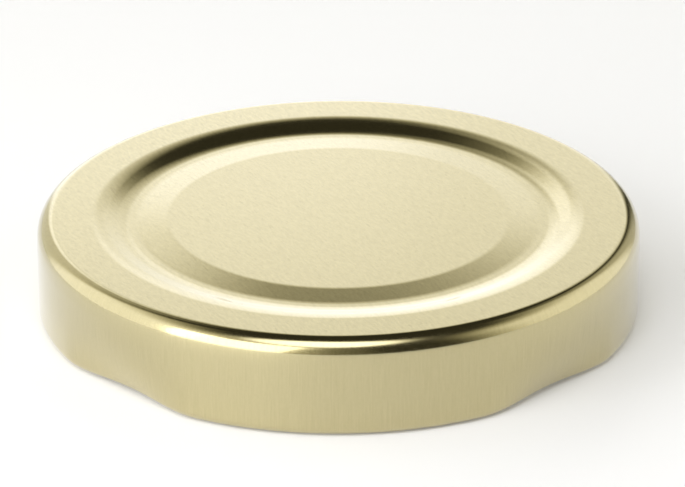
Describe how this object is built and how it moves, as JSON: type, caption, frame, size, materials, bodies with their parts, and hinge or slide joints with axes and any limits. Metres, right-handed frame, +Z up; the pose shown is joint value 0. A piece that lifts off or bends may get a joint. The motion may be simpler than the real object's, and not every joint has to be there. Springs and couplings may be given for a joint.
{
  "type": "twist-off jar lid",
  "caption": "Drawn tinplate twist-off lid with pressed lugs in its rolled rim and a ring of sealing compound, for wide-mouth glass jars.",
  "frame": {"origin": "centre of the lid, on the plane that the curl at its lower edge stands on", "axes": "+Z up along the axis of the lid, out of its top; -Y is the front, midway between two lugs"},
  "size_m": [0.066, 0.066, 0.0108],
  "materials": {
    "lacquered_tinplate": "clear gold lacquer over satin tinplate",
    "sealing_compound": "smooth semi-matt"
  },
  "bodies": {
    "root": {"lid_shell": "lacquered_tinplate", "sealing_ring": "sealing_compound"}
  },
  "joints": []
}
